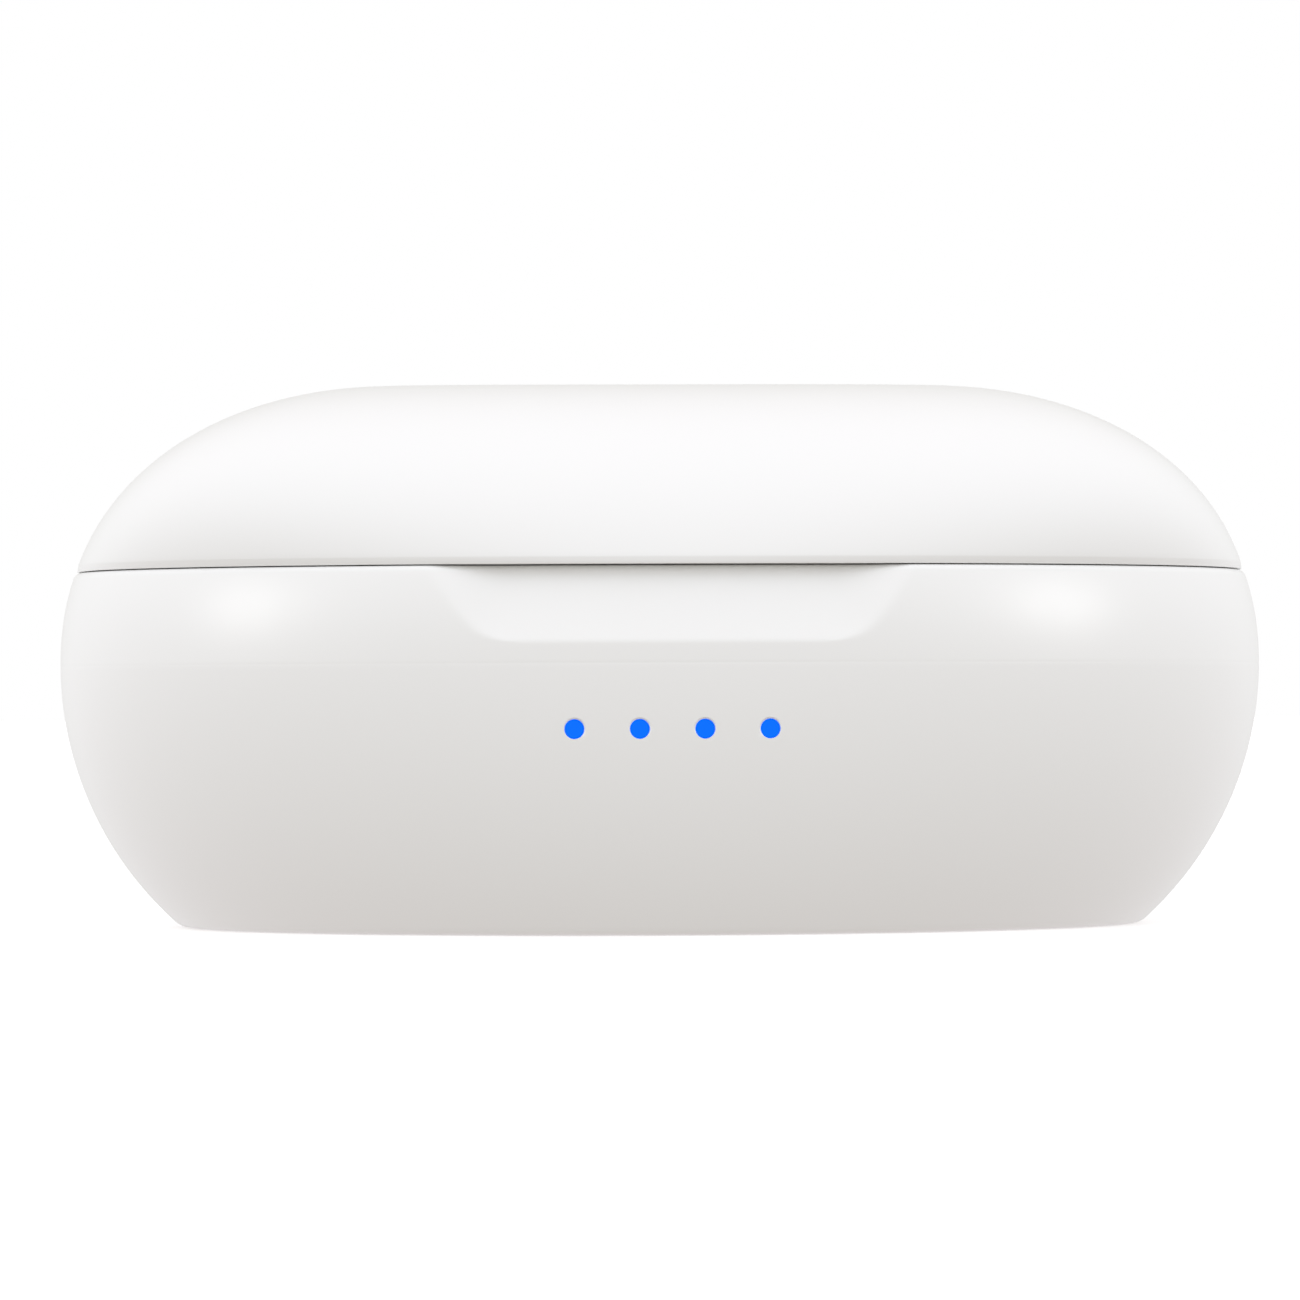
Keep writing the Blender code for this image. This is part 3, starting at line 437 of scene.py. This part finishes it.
def lid_rings():
    rings = []
    edge_z = LID_RIM_Z + LID_CHAMFER_HEIGHT
    outer = crown_rings(0.0, TOP_Z, edge_z + 0.04, 70)
    x0, z0 = outer[0]
    first = body_ring(z0, half_length(z0) - x0, outside=False)
    for share in (0.1, 0.3, 0.5, 0.7, 0.85, 0.95):
        rings.append([(x * share, y * share, z) for x, y, z in first])
    for x, z in outer:
        rings.append(body_ring(z, half_length(z) - x, outside=False))
    foot = LID_CHAMFER_WIDTH
    for inset, z in ((0.005, edge_z), (0.015, edge_z - 0.03), (0.9 * foot, LID_RIM_Z + 0.04),
                     (foot + 0.01, LID_RIM_Z + 0.012), (foot + 0.05, LID_RIM_Z),
                     (LID_WALL - 0.08, LID_RIM_Z), (LID_WALL, LID_RIM_Z + 0.06)):
        rings.append(body_ring(z, inset, outside=False))
    inner = crown_rings(LID_WALL, TOP_Z - LID_WALL, LID_RIM_Z + 0.2, 24)
    for x, z in inner[::-1]:
        rings.append(body_ring(z, half_length(z) - x, outside=False))
    return rings


def lid_mesh():
    slot_half = LID_KNUCKLE_HALF + FIT_GAP
    low = (-slot_half, 14.0, LID_RIM_Z - 1.0)
    high = (slot_half, HINGE_Y + 1.0, 22.45)
    return subtract(lofted("lid_outside", lid_rings()), hinge_scoops() + [box(low, high)])


# ------------------------------------------------------------------ earbud tray and lid liner
def egg(profile, side, steps=112):
    """A closed bowl from (half width, height) pairs in the wells' egg plan, narrow end inwards."""
    rings = []
    for radius, height in profile:
        ring = []
        for i in range(steps):
            a = 2 * math.pi * i / steps
            x = side * (WELL_X + radius * math.cos(a) * WELL_HALF_LENGTH / WELL_HALF_WIDTH)
            ring.append((x, radius * math.sin(a) * (1.0 + EGG_TAPER * math.cos(a)), height))
        rings.append(ring)
    return lofted("egg", rings)


def well_profile(grow, top_z, floor_z):
    """A bowl's (half width, z) from the top down."""
    round_foot = 3.0 + grow
    foot = WELL_HALF_WIDTH + grow - WELL_DRAFT
    floor = arc((foot - round_foot, floor_z + round_foot), round_foot, 0.0, -90.0, 12)
    return [(WELL_HALF_WIDTH + grow, top_z)] + floor + [(foot - round_foot - 2.0, floor_z)]


def flared(profile, face_z, lip, upward):
    """The profile with its mouth opened into a rounded edge at a face above or below it."""
    way = 1 if upward else -1
    mouth = profile[0][0]
    edge = arc((mouth + lip, face_z - way * lip), lip, 90.0, 180.0, 8)
    if not upward:
        edge = [(x, 2 * (face_z + lip) - z) for x, z in edge]
    return [(mouth + lip + 0.02, face_z + way * 0.5), (mouth + lip + 0.02, face_z)] + edge + profile[1:]


def scaled_rings(ring, shares):
    return [[(x * share, y * share, z) for x, y, z in ring] for share in shares]


def tray_mesh():
    edge = SHELL_WALL + FIT_GAP
    lip_inset = edge + TRAY_LIP_WIDTH
    rings = []
    for x, z in ((0.35, 0.0), (0.12, 0.04), (0.02, 0.14), (0.0, 0.3)):
        rings.append(body_ring(TRAY_TOP_Z + z, lip_inset + x, outside=False))
    rings = scaled_rings(rings[0], (0.1, 0.3, 0.5, 0.7, 0.85, 0.95)) + rings
    for x, z in ((0.0, 0.18), (0.04, 0.07), (0.12, 0.01), (0.3, 0.0), (0.5, 0.0), (0.64, 0.04), (0.7, 0.14)):
        rings.append(body_ring(TRAY_LIP_Z - z, lip_inset - x, outside=False))
    for z in (TRAY_TOP_Z, TRAY_UNDER_Z + 0.1):
        rings.append(body_ring(z, edge, outside=False))
    rings.append(body_ring(TRAY_UNDER_Z, edge + 0.1, outside=False))
    rings += scaled_rings(rings[-1], (0.9, 0.7, 0.5, 0.3, 0.1))
    unions, cutters = [], []
    for side in (-1, 1):
        unions.append(egg(well_profile(WELL_WALL, TRAY_TOP_Z - 0.4, WELL_FLOOR_Z - WELL_WALL), side))
        unions.append(rod(CLOSURE_RADIUS + 0.7, 2.9, (side * CLOSURE_X, CLOSURE_Y, 18.45), edge=0.2))
        low_x, high_x = sorted(side * x for x in TRAY_KNUCKLE)
        unions.append(box((low_x, 14.4, 20.32), (high_x, HINGE_Y, 21.0)))
        unions.append(rod(KNUCKLE_RADIUS, high_x - low_x, ((low_x + high_x) / 2, HINGE_Y, SEAM_Z),
                          axis="X", steps=64, edge=0.12))
        bowl = well_profile(0.0, TRAY_TOP_Z, WELL_FLOOR_Z)
        cutters.append(egg(flared(bowl, TRAY_TOP_Z, 0.55, True), side))
        cutters.append(rod(CLOSURE_RADIUS + FIT_GAP, 4.0, (side * CLOSURE_X, CLOSURE_Y, 17.3)))
        for way in (-1, 1):
            centre = (side * PIN_X, way * PIN_Y, WELL_FLOOR_Z)
            cutters.append(rod(BARREL_RADIUS + FIT_GAP, 4.0, centre, steps=40))
            rim = BARREL_RADIUS + FIT_GAP
            flare = [(0.0, -0.2), (rim, -0.2), (rim + 0.3, 0.1), (rim + 0.3, 0.4), (0.0, 0.4)]
            cutters.append(turned(flare, centre, steps=40))
    for x, y in POST_PLACES:
        foot = BOARD_TOP_Z + SOLDER_GAP
        height = TRAY_UNDER_Z + 0.4 - foot
        unions.append(rod(POST_RADIUS, height, (x, y, foot + height / 2), edge=0.15))
        cutters.append(rod(SCREW_RADIUS + 0.1, 8.0, (x, y, foot), steps=32))
    cutters.append(hinge_bar(KNUCKLE_BORE, -14.0, 14.0, steps=48))
    return subtract(lofted("tray", rings), cutters, unions)


def hollow_profile(grow, low_z):
    """A hollow's (half width, z) from its mouth up to its crown."""
    round_top = 3.0 + grow
    top_z = HOLLOW_TOP_Z + grow
    foot = WELL_HALF_WIDTH - 0.5 + grow
    dome = arc((foot - 1.6 - round_top, top_z - round_top), round_top, 0.0, 90.0, 12)
    return [(foot, low_z)] + dome + [(foot - 1.6 - round_top - 1.5, top_z)]


def liner_mesh():
    edge = LID_WALL + 3 * FIT_GAP
    rows = ((0.12, LINER_TOP_Z), (0.0, LINER_TOP_Z - 0.12), (0.0, LINER_UNDER_Z + 0.2),
            (0.06, LINER_UNDER_Z + 0.06), (0.2, LINER_UNDER_Z))
    rings = [body_ring(z, edge + inset, outside=False, level=LINER_TOP_Z) for inset, z in rows]
    inward = (0.95, 0.85, 0.7, 0.5, 0.3, 0.1)
    rings = scaled_rings(rings[0], inward[::-1]) + rings + scaled_rings(rings[-1], inward)
    unions, cutters = [], []
    for side in (-1, 1):
        unions.append(egg(hollow_profile(LINER_WALL, LINER_UNDER_Z + 0.3), side))
        bowl = hollow_profile(0.0, LINER_UNDER_Z)
        cutters.append(egg(flared(bowl, LINER_UNDER_Z, 0.45, False), side))
    low = (-LID_KNUCKLE_HALF, 14.4, LINER_UNDER_Z + 0.05)
    high = (LID_KNUCKLE_HALF, HINGE_Y, SEAM_Z + KNUCKLE_RADIUS - 0.05)
    unions.append(box(low, high))
    hinge_middle = (0.0, HINGE_Y, SEAM_Z)
    unions.append(rod(KNUCKLE_RADIUS, 2 * LID_KNUCKLE_HALF, hinge_middle, axis="X", steps=64, edge=0.12))
    cutters.append(hinge_bar(KNUCKLE_BORE, -14.0, 14.0, steps=48))
    return subtract(lofted("liner", rings), cutters, unions)


# ------------------------------------------------------------------ materials
def finish(name, color, rough, metal=0.0, scale=60.0, contrast=0.03, grain=400.0, bump=0.04, coat=0.0,
           stretch=(1, 1, 1), depth=0.00002, detail=3.0, uneven_by=(0.8, 1.25)):
    """A node material: a slowly varying tone, uneven roughness and a fine grain."""
    paint = bpy.data.materials.new(name)
    paint.use_nodes = True
    nodes, links = paint.node_tree.nodes, paint.node_tree.links
    shader = nodes["Principled BSDF"]
    shader.inputs["Metallic"].default_value = metal
    shader.inputs["IOR"].default_value = 1.49
    shader.inputs["Coat Weight"].default_value = coat
    shader.inputs["Coat Roughness"].default_value = 0.12
    place = nodes.new("ShaderNodeTexCoord")
    warp = nodes.new("ShaderNodeMapping")
    warp.inputs["Scale"].default_value = stretch
    links.new(place.outputs["Object"], warp.inputs["Vector"])
    tone = nodes.new("ShaderNodeTexNoise")
    tone.inputs["Scale"].default_value = scale
    tone.inputs["Detail"].default_value = detail
    links.new(warp.outputs["Vector"], tone.inputs["Vector"])
    ramp = nodes.new("ShaderNodeValToRGB")
    ramp.color_ramp.elements[0].position = 0.3
    ramp.color_ramp.elements[0].color = (*[c * (1 - contrast) for c in color], 1)
    ramp.color_ramp.elements[1].position = 0.7
    ramp.color_ramp.elements[1].color = (*color, 1)
    links.new(tone.outputs["Fac"], ramp.inputs["Fac"])
    links.new(ramp.outputs["Color"], shader.inputs["Base Color"])
    fine = nodes.new("ShaderNodeTexNoise")
    fine.inputs["Scale"].default_value = grain
    fine.inputs["Detail"].default_value = 4.0
    links.new(warp.outputs["Vector"], fine.inputs["Vector"])
    uneven = nodes.new("ShaderNodeMapRange")
    uneven.inputs["To Min"].default_value = rough * uneven_by[0]
    uneven.inputs["To Max"].default_value = rough * uneven_by[1]
    links.new(fine.outputs["Fac"], uneven.inputs["Value"])
    links.new(uneven.outputs["Result"], shader.inputs["Roughness"])
    ripple = nodes.new("ShaderNodeBump")
    ripple.inputs["Strength"].default_value = bump
    ripple.inputs["Distance"].default_value = depth
    links.new(fine.outputs["Fac"], ripple.inputs["Height"])
    links.new(ripple.outputs["Normal"], shader.inputs["Normal"])
    return paint


def glowing(paint, color, strength):
    shader = paint.node_tree.nodes["Principled BSDF"]
    shader.inputs["Emission Color"].default_value = (*color, 1.0)
    shader.inputs["Emission Strength"].default_value = strength
    shader.inputs["Specular IOR Level"].default_value = 0.1
    return paint


def dress(paint, *names):
    """Put a material on CAD nodes, keeping their shape."""
    for name in names:
        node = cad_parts[name]
        node.data.materials.clear()
        node.data.materials.append(paint)


ENDS = [f"{side}_{end}" for side in ("left", "right") for end in ("front", "back")]
WHITE = finish("gloss_white", (0.90, 0.90, 0.895), 0.31, scale=20.0, contrast=0.006, detail=0.0,
               uneven_by=(0.93, 1.12))
SATIN = finish("satin_white", (0.86, 0.86, 0.85), 0.38, contrast=0.02, grain=900.0, bump=0.10)
BLUE = glowing(finish("blue_glow", (0.0, 0.02, 0.30), 0.5, contrast=0.10), (0.0, 0.155, 0.97), 0.95)
STEEL = finish("steel", (0.60, 0.60, 0.61), 0.26, 1.0, stretch=(1, 1, 14), contrast=0.18, bump=0.15)
GOLD = finish("contact_gold", (0.86, 0.62, 0.24), 0.20, 1.0, scale=220.0, contrast=0.12)
NICKEL = finish("magnet_nickel", (0.56, 0.56, 0.57), 0.24, 1.0, scale=150.0, contrast=0.15)
MASK = finish("solder_mask", (0.02, 0.17, 0.06), 0.35, scale=180.0, contrast=0.55, bump=0.3, coat=0.3)
CHIP = finish("chip_black", (0.022, 0.022, 0.024), 0.5, scale=700.0, contrast=0.4, bump=0.4)
PHOSPHOR = finish("light_chip", (0.88, 0.84, 0.62), 0.35, scale=500.0, contrast=0.15)
FOIL = finish("cell_foil", (0.60, 0.62, 0.65), 0.36, 0.85, scale=90.0, contrast=0.2, grain=160.0, bump=0.5,
              depth=0.00012)
FOAM = finish("foam", (0.04, 0.04, 0.042), 0.9, scale=900.0, contrast=0.5, grain=1500.0, bump=0.8)
RED = finish("red_wire", (0.55, 0.02, 0.02), 0.38, scale=300.0, contrast=0.2)
BLACK = finish("black_wire", (0.02, 0.02, 0.022), 0.38, scale=300.0, contrast=0.3)

for name, mesh, body, paint, slot_name, node in (
    ("base_outer", base_mesh(), "base", WHITE, "white_plastic", "base_shell"),
    ("lid_outer", lid_mesh(), "lid", WHITE, "white_plastic", "lid_shell"),
    ("tray_moulding", tray_mesh(), "base", SATIN, "inner_plastic", "cradle_tray"),
    ("liner_moulding", liner_mesh(), "lid", SATIN, "inner_plastic", "lid_liner"),
):
    made = piece(name, mesh, body, paint)
    smooth_mesh(made.data)
    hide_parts(node)


def shortening_coil(end):
    """A copy of a contact pin's spring in steel, carried with the base, while the CAD spring is hidden."""
    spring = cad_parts[f"pin_spring_{end}"]
    coil = bpy.data.objects.new(f"coil_{end}", spring.data.copy())
    bpy.context.scene.collection.objects.link(coil)
    coil.matrix_world = spring.matrix_world.copy()
    coil.data.materials.clear()
    coil.data.materials.append(STEEL)
    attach(coil, "base")
    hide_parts(spring.name)
    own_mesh(coil)


for end in ENDS:
    shortening_coil(end)

dress(BLUE, "light_guide")
dress(SATIN, "battery_plug")
dress(STEEL, "hinge_pin", "port_shell", *[f"board_screw_{i}" for i in range(1, 5)])
dress(GOLD, *[f"pin_barrel_{e}" for e in ENDS], *[f"pin_plunger_{e}" for e in ENDS])
dress(NICKEL, *[f"{kind}_magnet_{side}" for kind in ("base", "bud", "lid") for side in ("left", "right")])
dress(MASK, "main_board", "light_board")
dress(CHIP, "charge_controller", "supervisor_chip", "power_inductor", "lid_sensor")
dress(CHIP, "port_tongue", "light_board_header")
dress(PHOSPHOR, *[f"charge_light_{i}" for i in range(1, 5)])
dress(FOIL, "battery_cell")
dress(FOAM, "battery_tape", "board_foam")
dress(RED, "battery_lead_red")
dress(BLACK, "battery_lead_black")

# ------------------------------------------------------------------ floor, light and camera
FLOOR_HALF, FLOOR_DROP, FLOOR_GLOW = 4, 0.00002, 0.28


def white_floor():
    """A plain pale floor that neither lights nor shades the case."""
    mesh = bpy.data.meshes.new("floor")
    corners = [(-1, -1), (1, -1), (1, 1), (-1, 1)]
    mesh.from_pydata([(x * FLOOR_HALF, y * FLOOR_HALF, 0) for x, y in corners], [], [(0, 1, 2, 3)])
    obj = bpy.data.objects.new("floor", mesh)
    obj.location.z = -FLOOR_DROP
    bpy.context.scene.collection.objects.link(obj)
    paint = bpy.data.materials.new("floor_white")
    paint.use_nodes = True
    shader = paint.node_tree.nodes["Principled BSDF"]
    shader.inputs["Base Color"].default_value = (0.9, 0.9, 0.9, 1.0)
    shader.inputs["Roughness"].default_value = 1.0
    shader.inputs["Specular IOR Level"].default_value = 0.0
    shader.inputs["Emission Color"].default_value = (1.0, 1.0, 1.0, 1.0)
    shader.inputs["Emission Strength"].default_value = FLOOR_GLOW
    mesh.materials.append(paint)
    obj.visible_diffuse = False
    obj.visible_glossy = False
    obj.visible_shadow = False
    return obj


floor = white_floor()

# A smooth white tent: its radiance, red green blue, is a sum of simple terms of the direction looked in.
# The weights come from a least-squares fit of the front view's tones, rounded.
# LEVEL was then lowered.
LEVEL = (0.955, 0.96, 0.955)
BRIGHTER_LEFT = (-0.02, -0.02, -0.02)
BRIGHTER_ABOVE = (0.24, 0.26, 0.27)
BRIGHTER_HIGH_FRONT_AND_LOW_BACK = (-0.77, -0.80, -0.90)
BRIGHTER_AT_THE_SIDES = (0.245, 0.245, 0.265)
DARKER_FRONT_AND_BACK = (-0.245, -0.245, -0.265)
DARKER_ABOVE_AND_BELOW = (-0.12, -0.18, -0.17)
TENT = (
    (LEVEL, None),
    (BRIGHTER_LEFT, "x"),
    (BRIGHTER_ABOVE, "z"),
    (BRIGHTER_HIGH_FRONT_AND_LOW_BACK, "yz"),
    (BRIGHTER_AT_THE_SIDES, "xx"),
    (DARKER_FRONT_AND_BACK, "yy"),
    (DARKER_ABOVE_AND_BELOW, "zz"),
)
world = bpy.data.worlds.new("studio")
bpy.context.scene.world = world
world.use_nodes = True
sky, sky_links = world.node_tree.nodes, world.node_tree.links
around = sky.new("ShaderNodeTexCoord")
split = sky.new("ShaderNodeSeparateXYZ")
sky_links.new(around.outputs["Generated"], split.inputs["Vector"])
total = None
for weight, term in TENT:
    add = sky.new("ShaderNodeVectorMath")
    add.operation = "MULTIPLY_ADD"
    add.inputs[0].default_value = weight
    add.inputs[1].default_value = (1, 1, 1)
    if term:
        value = split.outputs[term[0].upper()]
        if len(term) == 2:
            times = sky.new("ShaderNodeMath")
            times.operation = "MULTIPLY"
            sky_links.new(value, times.inputs[0])
            sky_links.new(split.outputs[term[1].upper()], times.inputs[1])
            value = times.outputs["Value"]
        sky_links.new(value, add.inputs[1])
    if total:
        sky_links.new(total, add.inputs[2])
    total = add.outputs["Vector"]
sky_links.new(total, sky["Background"].inputs["Color"])
backdrop = sky.new("ShaderNodeBackground")
backdrop.inputs["Color"].default_value = (1, 1, 1, 1)
seen = sky.new("ShaderNodeLightPath")
choose = sky.new("ShaderNodeMixShader")
sky_links.new(seen.outputs["Is Camera Ray"], choose.inputs["Fac"])
sky_links.new(sky["Background"].outputs["Background"], choose.inputs[1])
sky_links.new(backdrop.outputs["Background"], choose.inputs[2])
sky_links.new(choose.outputs["Shader"], sky["World Output"].inputs["Surface"])
bpy.context.scene.view_settings.view_transform = "Standard"

lit = bpy.data.collections.new("lit_by_side_lights")
lit.objects.link(bpy.data.objects["base_outer"])


def round_light(name, place, aim, width, radiance):
    """A round lamp that gives the base's shoulders their soft highlights."""
    light = bpy.data.lights.new(name, "AREA")
    light.shape = "DISK"
    light.size = width
    light.energy = radiance * math.pi * math.pi * width * width / 4
    obj = bpy.data.objects.new(name, light)
    bpy.context.scene.collection.objects.link(obj)
    obj.location = place
    obj.rotation_euler = (Vector(aim) - Vector(place)).to_track_quat("-Z", "Y").to_euler()
    obj.visible_diffuse = False
    obj.light_linking.receiver_collection = lit
    return obj


round_light("left_light", (-0.305, -0.27, 0.135), (0, 0, 0.02), 0.11, 8.5)
round_light("right_light", (0.295, -0.28, 0.135), (0, 0, 0.02), 0.11, 9.5)

DISTANCE, EYE_Z, LENS_MM, SENSOR_MM = 0.280, 0.0132, 128.559, 36.0
AZIMUTH, ROLL, YAW, PITCH = (math.radians(a) for a in (-2.07, 0.22, 0.1358, 0.6788))
camera_data = bpy.data.cameras.new("camera")
camera_data.sensor_width = SENSOR_MM
camera_data.lens = LENS_MM
camera = bpy.data.objects.new("camera", camera_data)
bpy.context.scene.collection.objects.link(camera)
eye = Vector((DISTANCE * math.sin(AZIMUTH), -DISTANCE * math.cos(AZIMUTH), EYE_Z))
camera.matrix_world = (
    Matrix.Translation(eye)
    @ Matrix.Rotation(AZIMUTH + YAW, 4, "Z")
    @ Matrix.Rotation(math.pi / 2 + PITCH, 4, "X")
    @ Matrix.Rotation(-ROLL, 4, "Z")
)
camera_data.clip_start = 0.01
bpy.context.scene.camera = camera
